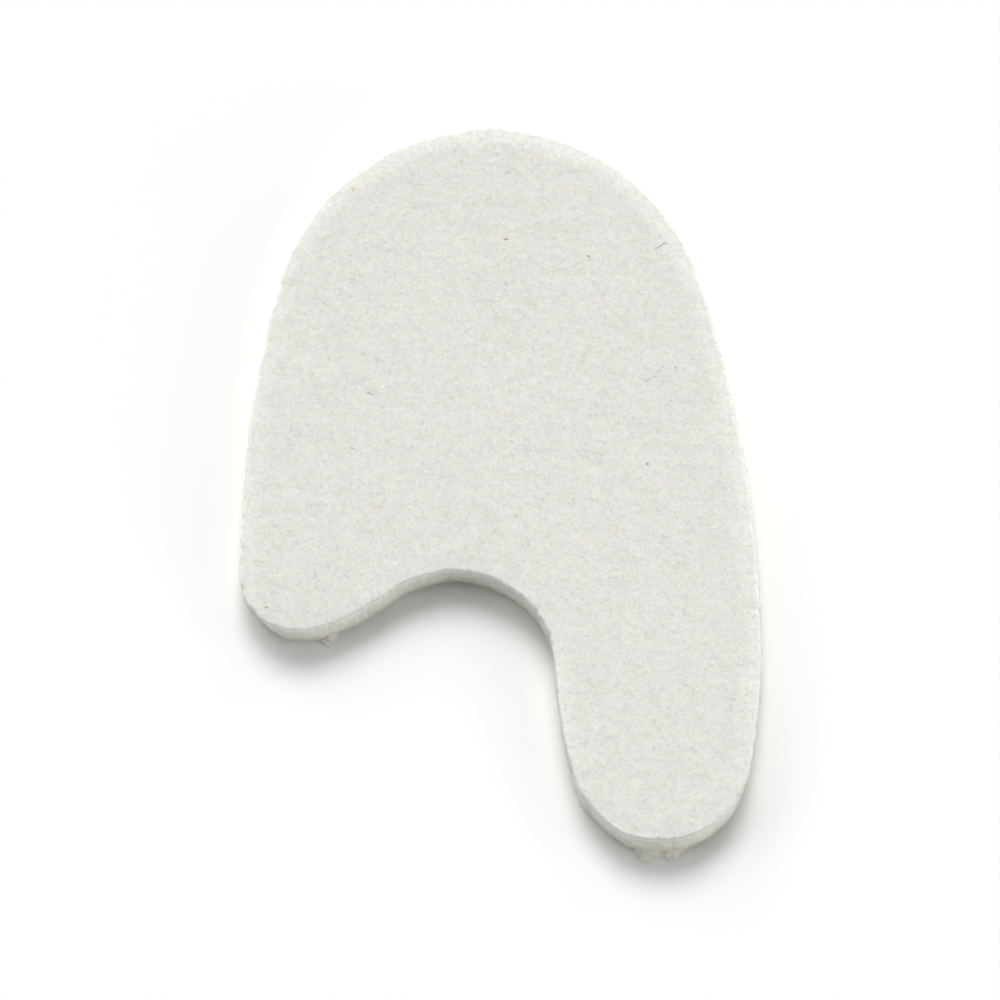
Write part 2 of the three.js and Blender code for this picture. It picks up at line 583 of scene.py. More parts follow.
@dataclass(frozen=True)
class TwoTone:
    """A matt finish of two tones that change from spot to spot.

    Its own values are those of lint: dull little specks of dirt that the felt picked up.
    """

    name: str
    dark: str
    light: str
    change_mm: float = 0.15
    detail: float = 2.0
    roughness: float = 0.85
    specular: float = 0.5
    sheen: float = 0.0

    def material(self) -> Material:
        """Builds the nodes.

        Returns:
            The material, which reads Object coordinates.
        """
        made, tree, place = start_material(self.name)
        change = add_node(tree, "ShaderNodeTexNoise", {
            "Vector": place, "Scale": 1 / (self.change_mm * MM), "Detail": self.detail})
        colour = add_node(tree, "ShaderNodeMix", {
            0: change, 6: linear(self.dark), 7: linear(self.light)}, data_type="RGBA")
        shader = add_node(tree, "ShaderNodeBsdfPrincipled", {
            "Base Color": colour, "Roughness": self.roughness,
            "Specular IOR Level": self.specular, "Sheen Weight": self.sheen})
        add_node(tree, "ShaderNodeOutputMaterial", {"Surface": shader})
        return made


@dataclass(frozen=True)
class StapleFibre(TwoTone):
    """Loose staple fibres of wool and polyester on the felt.

    They give the eye a soft, slightly brighter bloom over the face and a fuzzy, ragged cut edge.
    """

    name: str = "staple_fibre"
    dark: str = "dfdfd7"
    light: str = "eeeee7"
    change_mm: float = 0.5
    detail: float = 1.0
    roughness: float = 0.8
    specular: float = 0.3
    sheen: float = 0.15


@dataclass(frozen=True)
class MattCard(TwoTone):
    """Matt white card for the floor: even, with the faintest grain."""

    name: str = "matt_white_card"
    dark: str = "f8f8f7"
    light: str = "fafafa"
    change_mm: float = 0.8
    roughness: float = 0.9
    specular: float = 0.1


# The view and the light


@dataclass(frozen=True)
class PhotoView:
    """The camera's place, from the photograph, and where its pixels fall on the pad."""

    pad_middle: Array
    tilt_deg: float = 16.0
    azimuth_deg: float = 6.8
    roll_deg: float = 6.8
    distance_mm: float = 500.0
    pixels_per_mm: float = 9.027
    aim_right: float = 0.065
    aim_up: float = -2.81
    aim_height: float = 4.65
    frame_px: int = 1000
    sensor_mm: float = 36.0
    nearest_m: float = 0.01

    @property
    def axes(self) -> tuple[Array, Array, Array]:
        """The picture's right and up, and the direction back to the camera."""
        tilt, swing, roll = map(math.radians, (self.tilt_deg, self.azimuth_deg, self.roll_deg))
        back = np.array([math.sin(tilt) * math.sin(swing), -math.sin(tilt) * math.cos(swing),
                         math.cos(tilt)])
        level = np.array([math.cos(swing), math.sin(swing), 0.0])
        right = level * math.cos(roll) - np.cross(back, level) * math.sin(roll)
        return right, np.cross(back, right), back

    @property
    def place(self) -> Array:
        """The camera's place, in millimetres."""
        aim = np.array([*(self.pad_middle + (self.aim_right, self.aim_up)), self.aim_height])
        return aim + self.axes[2] * self.distance_mm

    def pad_point(self, column: float, row: float, height: float) -> Array:
        """Finds the point at one height that a pixel of the photograph shows.

        Args:
            column: the pixel's distance from the photograph's left side.
            row: its distance from the top.
            height: the height of the point above the floor.

        Returns:
            x and y.
        """
        half = self.frame_px / 2
        focal = self.distance_mm * self.pixels_per_mm
        right, up, back = self.axes
        ray = right * (column - half) / focal - up * (row - half) / focal - back
        steps = (height - self.place[2]) / ray[2]
        return (self.place + ray * steps)[:2]

    def pad_line(self, pixels: Pixels, height: float, count: int) -> Array:
        """Follows a line of pixels over the pad at one height.

        Args:
            pixels: the columns and rows of its bends.
            height: the height of the line above the floor.
            count: how many points it gets, equally many between each two bends.

        Returns:
            Rows of x and y.
        """
        bends = np.array([self.pad_point(*pixel, height) for pixel in pixels])
        walk = np.linspace(0, len(bends) - 1, count)
        return np.column_stack([np.interp(walk, np.arange(len(bends)), side) for side in bends.T])

    def camera(self) -> None:
        """Makes the camera that the scene looks through."""
        data = bpy.data.cameras.new("photo_camera")
        data.sensor_width = self.sensor_mm
        data.lens = self.distance_mm * self.pixels_per_mm / self.frame_px * self.sensor_mm
        data.clip_start = self.nearest_m
        camera = bpy.data.objects.new("photo_camera", data)
        bpy.context.scene.collection.objects.link(camera)
        camera.location = Vector(self.place * MM)
        camera.rotation_euler = Matrix(np.column_stack(self.axes).tolist()).to_euler()
        bpy.context.scene.camera = camera


@dataclass(frozen=True)
class SoftLight:
    """One soft light far away: its direction, seen from the pad, and its strength.

    The azimuth runs from +Y, behind the pad, to +X. The strength is what the light adds to
    the brightness of a white card that faces it.
    """

    name: str
    azimuth_deg: float
    elevation_deg: float
    strength: float
    width_deg: float = 28.0

    def build(self) -> None:
        """Makes the light and turns it to the pad."""
        swing, lift = math.radians(self.azimuth_deg), math.radians(self.elevation_deg)
        toward = Vector((math.sin(swing) * math.cos(lift), math.cos(swing) * math.cos(lift),
                         math.sin(lift)))
        light = bpy.data.lights.new(self.name, "SUN")
        light.angle = math.radians(self.width_deg)
        light.energy = self.strength * math.pi
        made = bpy.data.objects.new(self.name, light)
        bpy.context.scene.collection.objects.link(made)
        made.location = toward
        made.rotation_euler = toward.to_track_quat("Z", "Y").to_euler()


@dataclass
class Studio:
    """A white floor in a dim white room, lit by soft boxes behind the pad and beside it."""

    card: MattCard = MattCard()
    floor_m: float = 8.0
    lights: tuple[SoftLight, ...] = (
        SoftLight("back_box", 0, 48, 0.60),
        SoftLight("high_back_box", 0, 70, 0.10),
        SoftLight("back_left_box", 315, 48, 0.09),
        SoftLight("back_left_fill", 330, 28, 0.24),
        SoftLight("back_right_fill", 30, 28, 0.13),
        SoftLight("left_fill", 270, 28, 0.18),
        SoftLight("right_fill", 90, 28, 0.15),
        SoftLight("front_right_fill", 150, 28, 0.09),
        SoftLight("low_right_fill", 125, 10, 0.22),
    )
    room: str = "ffffff"
    room_strength: float = 0.04

    def build(self) -> None:
        """Makes the floor, the lights and the room."""
        half = self.floor_m / 2 / MM
        corners = np.array([[-half, -half, 0], [half, -half, 0], [half, half, 0], [-half, half, 0]])
        floor = make_piece("studio_floor", corners, np.array([[0, 1, 2], [0, 2, 3]]),
                           self.card.material())
        for light in self.lights:
            light.build()
        world = bpy.data.worlds.new("dim_white_room")
        world.use_nodes = True
        world.node_tree.nodes.clear()
        shade = add_node(world.node_tree, "ShaderNodeBackground", {
            "Color": linear(self.room), "Strength": self.room_strength})
        add_node(world.node_tree, "ShaderNodeOutputWorld", {"Surface": shade})
        bpy.context.scene.world = world
        bpy.context.scene.view_settings.view_transform = "Standard"


# The felt


@dataclass(frozen=True)
class CutSpot:
    """A stretch where the cut strays, placed by a pixel of the photograph.

    The foot and the rim of the wall move out by so much at its middle, in millimetres.
    """

    column: float
    row: float
    width: float
    foot: float
    rim: float


@dataclass
class HandCut:
    """How the real cut strays from the clean outline, as far as the photograph shows it."""

    view: PhotoView
    top: float
    flare: float = 0.12
    spots: tuple[CutSpot, ...] = (
        CutSpot(490, 128, 10, 0.10, 0.18), CutSpot(355, 175, 16, -0.10, -0.10),
        CutSpot(280, 290, 30, -0.15, -0.15), CutSpot(241, 515, 28, -0.25, -0.25),
        CutSpot(242, 592, 9, -0.32, -0.05), CutSpot(254, 612, 9, -0.36, 0.16),
        CutSpot(306, 629, 12, 0.10, 0.08), CutSpot(350, 613, 10, 0.22, 0.14),
        CutSpot(400, 583, 10, 0.18, 0.05), CutSpot(424, 573, 6, 0.10, 0.10),
        CutSpot(485, 573, 18, 0.18, 0.03), CutSpot(546, 620, 12, -0.10, -0.14),
        CutSpot(561, 700, 16, -0.08, -0.12), CutSpot(570, 766, 2.2, -0.25, 0.0),
        CutSpot(593, 805, 9, 0.12, -0.12), CutSpot(627, 833, 8, 0.20, 0.16),
        CutSpot(664, 842, 18, 0.45, 0.04), CutSpot(746, 780, 12, -0.20, -0.04),
        CutSpot(761, 635, 16, -0.10, -0.08), CutSpot(757, 565, 34, -0.25, -0.25),
        CutSpot(739, 440, 16, -0.10, -0.10), CutSpot(705, 299, 9, 0.12, 0.12),
        CutSpot(652, 205, 14, -0.10, -0.10), CutSpot(576, 148, 12, -0.12, -0.12))

    def drift(self, places: Array, rise: float) -> Array:
        """Gives how far the wall stands outside the clean outline.

        Args:
            places: the outline's x and y.
            rise: the share of the wall's height, from 0 at its foot to 1 at its rim.

        Returns:
            The distance outwards at each place.
        """
        total = np.full(len(places), self.flare * (1 - rise))
        for spot in self.spots:
            middle = self.view.pad_point(spot.column, spot.row, self.top)
            away = np.linalg.norm(places - middle, axis=1) / (spot.width / 2)
            shape = np.cos(np.clip(away, 0, 1) * math.pi) / 2 + 0.5
            total += shape * (spot.foot * (1 - rise) + spot.rim * rise)
        return total


@dataclass
class FeltPad:
    """The die-cut felt: a grained face, a rounded rim and a rough cut wall.

    The bottom and the top come from the frame. The wall's relief is lumps, bites that the
    knife took out of its upper part, slow wander and fine grain.
    """

    outline: PadOutline
    hand_cut: HandCut
    bottom: float
    top: float
    finish: NeedledFelt = NeedledFelt()
    rim_radius: float = 0.36
    edge_drop: float = 0.24
    edge_band: float = 2.4
    grid: float = 0.22
    jitter: float = 0.32
    rim_gap: float = 0.6
    roll: Layer = Layer(0.015, 9.0)
    row_height: float = 0.001
    row_wander: float = 1.3
    face_grains: tuple[Layer, ...] = (Layer(0.006, 0.42), Layer(0.007, 0.8, 7), Layer(0.008, 2.2, 13))
    lumps: tuple[Layer, ...] = (Layer(0.055, 1.3), Layer(0.035, 0.6, 5))
    lump_stretch: float = 0.6
    lumps_lost: float = 0.7
    bites: tuple[Layer, ...] = (Layer(0.16, 1.3, 9), Layer(0.08, 0.6, 3))
    bite_from: float = 0.3
    wander: tuple[Layer, ...] = (Layer(0.04, 3.5, 17),)
    wall_grains: tuple[Layer, ...] = (Layer(0.018, 0.33),)
    fuzz_from: float = 0.6
    cut_fade: float = 1.6
    # The painted shade with the adhesive's yellow at the wall's foot: its strength and the height
    # where it fades out
    foot_glue_and_shade: float = 0.5
    foot_glue_and_shade_height: float = 1.3
    # The painted highlight on the upper wall and rounded rim: its strength, the share of the wall's
    # height where it starts, and the share over which it grows
    upper_wall_highlight: float = 0.6
    upper_wall_highlight_from: float = 0.72
    upper_wall_highlight_run: float = 0.2
    seed: int = 11

    @property
    def rim_top(self) -> float:
        """The height of the face at the rim."""
        return self.top - self.edge_drop

    def section(self) -> list[tuple[float, float, float]]:
        """Lists the wall's rows from its foot to the rim.

        Returns:
            For each row the inset, the height and the share of the way round the rim.
        """
        wall_top = self.rim_top - self.rim_radius
        steps = round((wall_top - self.bottom) / self.grid)
        rows = [(0.0, self.bottom + (wall_top - self.bottom) * i / steps, 0.0)
                for i in range(steps)]
        turns = max(3, math.ceil(self.rim_radius * math.pi / 2 / self.grid) + 1)
        for i in range(turns + 1):
            angle = math.pi / 2 * i / turns
            rows.append((self.rim_radius * (1 - math.cos(angle)),
                         wall_top + self.rim_radius * math.sin(angle), i / turns))
        return rows

    def face_points(self, finder: EdgeFinder, rng: np.random.Generator) -> Array:
        """Scatters the face's points on a loosened honeycomb.

        Args:
            finder: the distance inside the rim.
            rng: the source of the scatter.

        Returns:
            x and y of the points inside the rim.
        """
        low, high = finder.places.min(axis=0), finder.places.max(axis=0)
        rows = np.arange(low[1], high[1], self.grid * math.sqrt(3) / 2)
        x, y = np.meshgrid(np.arange(low[0], high[0], self.grid), rows)
        x = x + (np.arange(len(rows)) % 2)[:, None] * self.grid / 2
        points = np.stack([x.ravel(), y.ravel()], axis=1)
        points += rng.uniform(-self.jitter, self.jitter, points.shape) * self.grid
        return points[finder.depth(points) > self.rim_gap * self.grid]

    def face_height(self, depth: Array) -> Array:
        """Gives the face's height by the distance from the rim, without its grain."""
        share = np.clip(depth / self.edge_band, 0, 1)
        return self.rim_top + self.edge_drop * (1 - (1 - share) ** 2)

    def face_grain(self, points: Array) -> Array:
        """Gives the relief of the face: grain, nap, needle rows and a slow roll.

        Args:
            points: places on the face.

        Returns:
            The height at each point.
        """
        relief = Relief(self.seed)
        roll = relief.at(points, self.roll.size)
        rows = np.sin(math.tau * points[:, 1] / self.finish.row_mm + self.row_wander * roll)
        return (relief.layered(points, self.face_grains) + self.row_height * rows
                + self.roll.height * roll)

    def surface(self, places: Array) -> Array:
        """Finds the face's points at some places, once the felt is built."""
        smooth = np.column_stack([places, self.face_height(self.rim_finder.depth(places))])
        return smooth + np.outer(self.face_grain(smooth), (0, 0, 1))

    def wall_grain(self, points: Array, rise: float) -> Array:
        """Gives how far the cut wall stands out.

        Args:
            points: places on one row of the wall.
            rise: the row's share of the wall's height.

        Returns:
            The distance outwards at each point.
        """
        relief = Relief(self.seed + 1)
        lumps = relief.layered(points * (1, 1, self.lump_stretch), self.lumps)
        level = points * (1, 1, 0)
        bites = sum(bite.height * np.clip(
            relief.at(level + bite.shift, bite.size) - self.bite_from, 0, 2) for bite in self.bites)
        return ((1 - self.lumps_lost * rise) * lumps + relief.layered(level, self.wander)
                - rise * bites + relief.layered(points, self.wall_grains))

    def build(self) -> Object:
        """Makes the felt's mesh, with its marks for the finish.

        Returns:
            The closed felt, one object.
        """
        places, normals = self.outline.line(self.grid)
        count = len(places)
        rings, shares = [], []
        for inset, height, turned in self.section():
            ring = np.column_stack([places - normals * inset, np.full(count, height)])
            rise = (height - self.bottom) / (self.rim_top - self.bottom)
            out = self.wall_grain(ring, rise) + self.hand_cut.drift(places, rise)
            ring[:, :2] += normals * out[:, None]
            rings.append(ring)
            up_wall = np.clip((rise - self.upper_wall_highlight_from) / self.upper_wall_highlight_run, 0, 1)
            # Each row's shares: the cut wall painted lighter than the face, the foot's painted shade
            # with the adhesive's yellow, and the upper wall's painted highlight
            shares.append((max(0.0, 1 - self.cut_fade * turned),
                           self.foot_glue_and_shade * max(0.0, 1 - (height - self.bottom) / self.foot_glue_and_shade_height),
                           self.upper_wall_highlight * up_wall * (1 - turned ** 4)))
        rim = rings[-1]
        self.rim_finder = EdgeFinder(rim[:, :2], normals)
        inner = self.face_points(self.rim_finder, np.random.default_rng(self.seed))
        depth = self.rim_finder.depth(inner)
        face = np.column_stack([inner, self.face_height(depth)])
        face[:, 2] += self.face_grain(face)
        rim[:, 2] += self.face_grain(rim)
        points = np.concatenate([*rings, face])
        wall = join_rings(count, len(rings))
        top_faces = fill_flat(rim[:, :2], inner) + (len(rings) - 1) * count
        foot_faces = fill_flat(rings[0][:, :2])[:, ::-1]
        on_wall = np.repeat(shares, count, axis=0)
        cut, foot, upper_highlight = np.concatenate([on_wall, np.zeros((len(face), 3))]).T
        edge = np.concatenate([np.zeros(len(on_wall)), depth])
        clear_of_floor = points[wall][:, :, 2].min(axis=1) > self.bottom + self.fuzz_from
        self.carriers = {"face": (points, top_faces), "wall": (points, wall[clear_of_floor])}
        return make_piece("needled_felt", points, np.concatenate([wall, top_faces, foot_faces]),
                          self.finish.material(),
                          {Mark.EDGE: edge, Mark.CUT: cut, Mark.FOOT: foot, Mark.UPPER_HIGHLIGHT: upper_highlight})


# Loose fibres


@dataclass
class FibreCoat:
    """Loose fibres over one part of the felt, scattered by a node tree.

    Real fibres are 0.015 to 0.03 mm thick. They are drawn at the thin end of that and far
    fewer. Each bend gives how far a fibre's tip reaches ahead and aside and how high its middle
    is, as shares of its length.
    """

    name: str
    count: int
    length: float
    lean_deg: float
    seed: int
    material: Material
    thickness: float = 0.016
    shortest: float = 0.55
    longest: float = 1.25
    bends: tuple[tuple[float, float, float], ...] = (
        (0.9, 0.25, 0.04), (0.8, -0.45, 0.06), (0.95, 0.05, 0.09), (0.6, 0.7, 0.05),
        (0.75, -0.6, 0.02))

    def tree(self) -> NodeTree:
        """Builds the tree that scatters bent fibres over a surface and joins them.

        Returns:
            The tree, with inputs named for what they set.
        """
        tree = bpy.data.node_groups.new("loose_fibres", "GeometryNodeTree")
        for way, name, kind in (
            ("OUTPUT", "Geometry", "Geometry"), ("INPUT", "Surface", "Geometry"),
            ("INPUT", "Density", "Float"), ("INPUT", "Length", "Float"),
            ("INPUT", "Thickness", "Float"), ("INPUT", "Lean", "Float"),
            ("INPUT", "Seed", "Int"), ("INPUT", "Finish", "Material"),
        ):
            tree.interface.new_socket(name, in_out=way, socket_type="NodeSocket" + kind)
        given = add_node(tree, "NodeGroupInput").outputs
        points = add_node(tree, "GeometryNodeDistributePointsOnFaces", {
            "Mesh": given["Surface"], "Density": given["Density"], "Seed": given["Seed"]})
        half = add_node(tree, "ShaderNodeMath", {0: given["Thickness"], 1: 0.5},
                        operation="MULTIPLY")
        profile = add_node(tree, "GeometryNodeCurvePrimitiveCircle", {
            "Resolution": 3, "Radius": half})
        kinds = add_node(tree, "GeometryNodeGeometryToInstance")
        for ahead, aside, up in self.bends:
            middle, tip = (
                add_node(tree, "ShaderNodeVectorMath", {0: place, "Scale": given["Length"]},
                         operation="SCALE")
                for place in ((ahead * 0.5, -aside * 0.3, up), (ahead, aside, up * 0.6)))
            line = add_node(tree, "GeometryNodeCurveQuadraticBezier", {
                "Resolution": 3, "Start": (0, 0, 0), "Middle": middle, "End": tip})
            strand = add_node(tree, "GeometryNodeCurveToMesh", {
                "Curve": line, "Profile Curve": profile, "Fill Caps": True})
            tree.links.new(strand.outputs[0], kinds.inputs[0])
        less = add_node(tree, "ShaderNodeMath", {0: given["Lean"], 1: -1.0}, operation="MULTIPLY")
        low = add_node(tree, "ShaderNodeCombineXYZ", {"X": less, "Y": less, "Z": 0.0})
        high = add_node(tree, "ShaderNodeCombineXYZ", {
            "X": given["Lean"], "Y": given["Lean"], "Z": math.tau})
        turn = add_node(tree, "FunctionNodeRandomValue", {0: low, 1: high, "Seed": given["Seed"]},
                        data_type="FLOAT_VECTOR")
        spin = add_node(tree, "FunctionNodeEulerToRotation", {0: turn})
        laid = add_node(tree, "FunctionNodeRotateRotation", {
            0: points.outputs["Rotation"], 1: spin}, rotation_space="LOCAL")
        choice = add_node(tree, "FunctionNodeRandomValue", {
            4: 0, 5: len(self.bends) - 1, "Seed": given["Seed"]}, data_type="INT")
        size = add_node(tree, "FunctionNodeRandomValue", {
            2: self.shortest, 3: self.longest, "Seed": given["Seed"]}, data_type="FLOAT")
        strands = add_node(tree, "GeometryNodeInstanceOnPoints", {
            "Points": points, "Instance": kinds, "Pick Instance": True,
            "Instance Index": choice, "Rotation": laid, "Scale": size})
        joined = add_node(tree, "GeometryNodeRealizeInstances", {0: strands})
        dressed = add_node(tree, "GeometryNodeSetMaterial", {
            "Geometry": joined, "Material": given["Finish"]})
        add_node(tree, "NodeGroupOutput", {0: dressed})
        return tree

    def build(self, points: Array, faces: Array) -> Object:
        """Scatters the fibres and keeps them as a plain mesh.

        Args:
            points: x, y and z of the surface's points.
            faces: three numbers for each of its triangles.

        Returns:
            The fibres, one object.
        """
        used, numbers = np.unique(faces, return_inverse=True)
        carrier = make_piece(self.name, points[used], numbers.reshape(faces.shape), self.material)
        a, b, c = (points[faces[:, i]] * MM for i in range(3))
        area = np.linalg.norm(np.cross(b - a, c - a), axis=1).sum() / 2
        modifier = carrier.modifiers.new("fibres", "NODES")
        tree = modifier.node_group = self.tree()
        settings = {"Density": self.count / area, "Length": self.length * MM,
                    "Thickness": self.thickness * MM, "Lean": math.radians(self.lean_deg),
                    "Seed": self.seed, "Finish": self.material}
        for socket in tree.interface.items_tree:
            if socket.name in settings:
                modifier[socket.identifier] = settings[socket.name]
        graph = bpy.context.evaluated_depsgraph_get()
        mesh = bpy.data.meshes.new_from_object(carrier.evaluated_get(graph), depsgraph=graph)
        mesh.name = self.name
        mesh.shade_smooth()
        mesh.materials.clear()
        mesh.materials.append(self.material)
        mesh.polygons.foreach_set("material_index", np.zeros(len(mesh.polygons), dtype=np.int32))
        carrier.modifiers.remove(modifier)
        bare, carrier.data = carrier.data, mesh
        bpy.data.meshes.remove(bare)
        bpy.data.node_groups.remove(tree)
        return carrier


# Stray bits on the face


class Lint(Enum):
    """The tones of the stray bits."""

    HAIR = TwoTone("dark_hair", "b4b1a9", "c4c1b9")
    DARK = TwoTone("dark_lint", "a09e95", "b0aea5")
    GREY = TwoTone("grey_lint", "c4c2ba", "d0cec6")
    OCHRE = TwoTone("ochre_lint", "c6b68c", "dacda8")
    STRAW = TwoTone("straw_lint", "d2cea8", "dcd9ba")


@dataclass(frozen=True)
class Stray:
    """A stray bit on the face: its line by pixels of the photograph, its width and tone."""

    name: str
    tone: Lint
    width: float
    pixels: Pixels


@dataclass
class StrayBits:
    """Hairs, lint and specks that lie flat in the nap."""

    felt_pad: FeltPad
    sides: int = 7
    points_per_bend: int = 4
    blunt: float = 0.35
    uneven: tuple[float, float] = (0.75, 1.2)
    flatness: float = 0.25
    lift: float = 0.02
    seed: int = 31
    strays: tuple[Stray, ...] = (
        Stray("stray_hair", Lint.HAIR, 0.12, ((655, 249), (657, 248), (659.5, 246.2),
                                              (663, 243.6), (665.5, 242.8), (668.4, 243))),
        Stray("straw_fibre", Lint.STRAW, 0.32, ((352.5, 185.5), (353, 188), (353.2, 191))),
        Stray("ochre_speck", Lint.OCHRE, 0.28, ((503.5, 239.6), (506, 238.6), (508.5, 239))),
        Stray("grey_dash", Lint.GREY, 0.17, ((366, 392.3), (370, 392.6), (374, 395))),
        Stray("dark_speck_leg", Lint.DARK, 0.24, ((647, 462.5), (648, 465))),
        Stray("grey_speck_right", Lint.GREY, 0.22, ((675, 365.5), (675.7, 369))),
        Stray("grey_speck_top", Lint.GREY, 0.32, ((586.5, 255), (590, 256))),
        Stray("grey_speck_lobe", Lint.GREY, 0.25, ((264.5, 607), (268.5, 606.5))),
        Stray("grey_speck_left", Lint.GREY, 0.2, ((351, 447), (354, 448.7))),
        Stray("grey_speck_middle", Lint.GREY, 0.2, ((511, 440.5), (513, 442.5))),
    )

    def strand(self, line: Array, width: float,
               rng: np.random.Generator) -> tuple[Array, Array]:
        """Makes a closed, uneven tube along a line.

        Args:
            line: x, y and z of its points.
            width: its thickness.
            rng: the source of the unevenness.

        Returns:
            Points and faces.
        """
        along = np.gradient(line, axis=0)
        along /= np.linalg.norm(along, axis=1, keepdims=True)
        side = np.cross((0.0, 0.0, 1.0), along)
        side /= np.linalg.norm(side, axis=1, keepdims=True)
        up = np.cross(along, side)
        angles = math.tau * np.arange(self.sides) / self.sides
        taper = np.sin(np.linspace(self.blunt, math.pi - self.blunt, len(line)))
        radius = width / 2 * taper[:, None] * rng.uniform(*self.uneven, (len(line), self.sides))
        rings = (line[:, None] + side[:, None] * (np.cos(angles) * radius)[..., None]
                 + up[:, None] * (np.sin(angles) * radius * self.flatness)[..., None])
        points = np.concatenate([rings.reshape(-1, 3), line[:1], line[-1:]])
        first = np.full(self.sides, len(points) - 2)
        i = np.arange(self.sides)
        after, end = (i + 1) % self.sides, (len(line) - 1) * self.sides
        return points, np.concatenate([
            join_rings(self.sides, len(line)), np.stack([first, after, i], axis=1),
            np.stack([first + 1, i + end, after + end], axis=1)])

    def build(self) -> list[Object]:
        """Makes the stray bits.

        Returns:
            One object for each.
        """
        rng = np.random.default_rng(self.seed)
        materials = {tone: tone.value.material() for tone in Lint}
        view, top = self.felt_pad.hand_cut.view, self.felt_pad.top
        made = []
        for stray in self.strays:
            places = view.pad_line(stray.pixels, top, self.points_per_bend * len(stray.pixels))
            line = self.felt_pad.surface(places) + (0, 0, self.lift)
            points, faces = self.strand(line, stray.width, rng)
            made.append(make_piece(stray.name, points, faces, materials[stray.tone]))
        return made


# The film under it


@dataclass(frozen=True)
class Flap:
    """A torn bit of film that stands out past the felt, placed by a pixel of the photograph."""

    column: float
    row: float
    width: float
    reach: float


@dataclass
class AdhesiveFilm:
    """The film of adhesive on the underside, with its ragged edge and torn flaps.

    The thickness comes from the frame. The film thins towards its edge.
    """

    outline: PadOutline
    hand_cut: HandCut
    material: Material
    thickness: float
    step: float = 0.16
    edge_rows: tuple[float, ...] = (0.0, 0.15, 0.35, 0.6, 1.0, 1.6, 2.6)
    set_back: float = 0.1
    ragged: tuple[Layer, ...] = (Layer(0.05, 0.9), Layer(0.03, 0.4))
    flap_ragged: Layer = Layer(0.18, 0.5)
    thinned: float = 0.3
    clearance: float = 0.02
    seed: int = 23
    flaps: tuple[Flap, ...] = (
        Flap(328, 647, 1.8, 0.4), Flap(645, 862, 2.8, 0.6),
        Flap(673, 861, 2.8, 0.5), Flap(583, 800, 1.6, 0.2))

    def build(self) -> Object:
        """Makes the film's mesh.

        Returns:
            The closed film, one object.
        """
        places, normals = self.outline.line(self.step)
        count = len(places)
        finder = EdgeFinder(places, normals)
        level = np.column_stack([places, np.zeros(count)])
        relief = Relief(self.seed)
        reach = relief.layered(level, self.ragged) - self.set_back
        reach += self.hand_cut.drift(places, 0.0)
        uneven = 1 + relief.layered(level, (self.flap_ragged,))
        for flap in self.flaps:
            middle = finder.nearest(self.hand_cut.view.pad_point(flap.column, flap.row, 0.0))
            away = np.linalg.norm(places - places[middle], axis=1) / (flap.width / 2)
            reach += flap.reach * np.clip(1 - away ** 2, 0, 1) * uneven
        lower, upper = [], []
        for inset in self.edge_rows:
            share = max(0.0, 1 - inset / self.edge_rows[-2])
            out = reach * share - inset * (1 - share) - self.clearance
            moved = places + normals * out[:, None]
            lower.append(np.column_stack([moved, np.zeros(count)]))
            thickness = self.thickness * (1 - self.thinned * share)
            upper.append(np.column_stack([moved, np.full(count, thickness)]))
        rings = lower[::-1] + upper
        faces = np.concatenate([
            join_rings(count, len(rings)), fill_flat(rings[0][:, :2])[:, ::-1],
            fill_flat(rings[-1][:, :2]) + (len(rings) - 1) * count])
        return make_piece("adhesive_film", np.concatenate(rings), faces, self.material)


@dataclass(frozen=True)
class Tear:
    """A flap of film and felt torn loose at the wall's foot.

    Its thick, yellow streak and its edge are traced by pixels of the photograph.
    """

    name: str
    rise: float
    streak: Pixels
    pixels: Pixels


